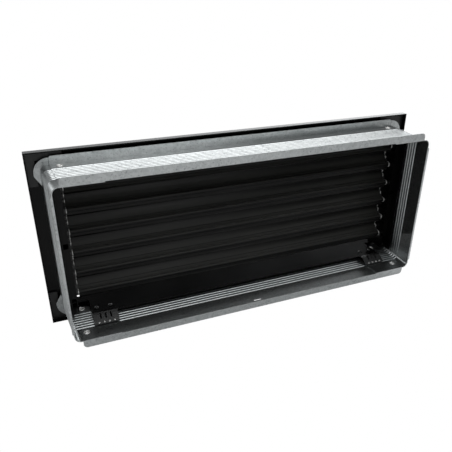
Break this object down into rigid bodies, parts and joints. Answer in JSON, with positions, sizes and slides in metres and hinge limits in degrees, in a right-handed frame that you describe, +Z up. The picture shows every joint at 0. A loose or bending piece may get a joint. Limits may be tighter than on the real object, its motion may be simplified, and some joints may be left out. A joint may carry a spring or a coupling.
{
  "type": "air grille",
  "caption": "Wall or duct air grille with turning blades in a black frame, held by spring latches in a ribbed galvanised mounting subframe.",
  "frame": {"origin": "centre of the wall opening, in the plane of the wall", "axes": "+X along the grille's length, towards the left as seen from the duct; +Y into the duct; +Z up"},
  "size_m": [0.5454, 0.0884, 0.2364],
  "materials": {
    "galvanised": "spangled galvanised",
    "zinc": "zinc plated",
    "bright_steel": "bright",
    "black_coat": "satin powder coat",
    "blade_coat": "satin powder coat",
    "black_steel": "matt",
    "black_nylon": "moulded"
  },
  "bodies": {
    "subframe": {"subframe_top": "galvanised", "subframe_bottom": "galvanised", "subframe_left": "galvanised", "subframe_right": "galvanised", "front_eyelets": "zinc", "rear_eyelets": "zinc"},
    "insert": {"face_top": "black_coat", "face_bottom": "black_coat", "face_left": "black_coat", "face_right": "black_coat", "corner_keys": "black_steel", "side_channel_left": "black_coat", "side_channel_right": "black_coat", "channel_rivets": "black_steel", "latch_top_left": "black_steel", "latch_top_right": "black_steel", "latch_bottom_left": "black_steel", "latch_bottom_right": "black_steel", "latch_screws": "black_steel", "latch_teeth": "bright_steel"},
    "vane_1": {"blade_1": "blade_coat", "blade_1_caps": "black_nylon", "blade_1_pins": "zinc"},
    "vane_2": {"blade_2": "blade_coat", "blade_2_caps": "black_nylon", "blade_2_pins": "zinc"},
    "vane_3": {"blade_3": "blade_coat", "blade_3_caps": "black_nylon", "blade_3_pins": "zinc"},
    "vane_4": {"blade_4": "blade_coat", "blade_4_caps": "black_nylon", "blade_4_pins": "zinc"},
    "vane_5": {"blade_5": "blade_coat", "blade_5_caps": "black_nylon", "blade_5_pins": "zinc"},
    "vane_6": {"blade_6": "blade_coat", "blade_6_caps": "black_nylon", "blade_6_pins": "zinc"}
  },
  "joints": [
    {"name": "insert_slide", "type": "slide", "parent": "subframe", "child": "insert", "axis": [0, -1, 0], "range_m": [0, 0.055]},
    {"name": "blade_1_turn", "type": "hinge", "parent": "insert", "child": "vane_1", "pos_m": [0, 0.0176, 0.07745], "axis": [1, 0, 0], "range_deg": [0, 28]},
    {"name": "blade_2_turn", "type": "hinge", "parent": "insert", "child": "vane_2", "pos_m": [0, 0.0176, 0.04855], "axis": [1, 0, 0], "range_deg": [-20, 60]},
    {"name": "blade_3_turn", "type": "hinge", "parent": "insert", "child": "vane_3", "pos_m": [0, 0.0176, 0.01965], "axis": [1, 0, 0], "range_deg": [-20, 60]},
    {"name": "blade_4_turn", "type": "hinge", "parent": "insert", "child": "vane_4", "pos_m": [0, 0.0176, -0.00925], "axis": [1, 0, 0], "range_deg": [-20, 60]},
    {"name": "blade_5_turn", "type": "hinge", "parent": "insert", "child": "vane_5", "pos_m": [0, 0.0176, -0.03815], "axis": [1, 0, 0], "range_deg": [-20, 60]},
    {"name": "blade_6_turn", "type": "hinge", "parent": "insert", "child": "vane_6", "pos_m": [0, 0.0176, -0.06705], "axis": [1, 0, 0], "range_deg": [-20, 60]}
  ]
}
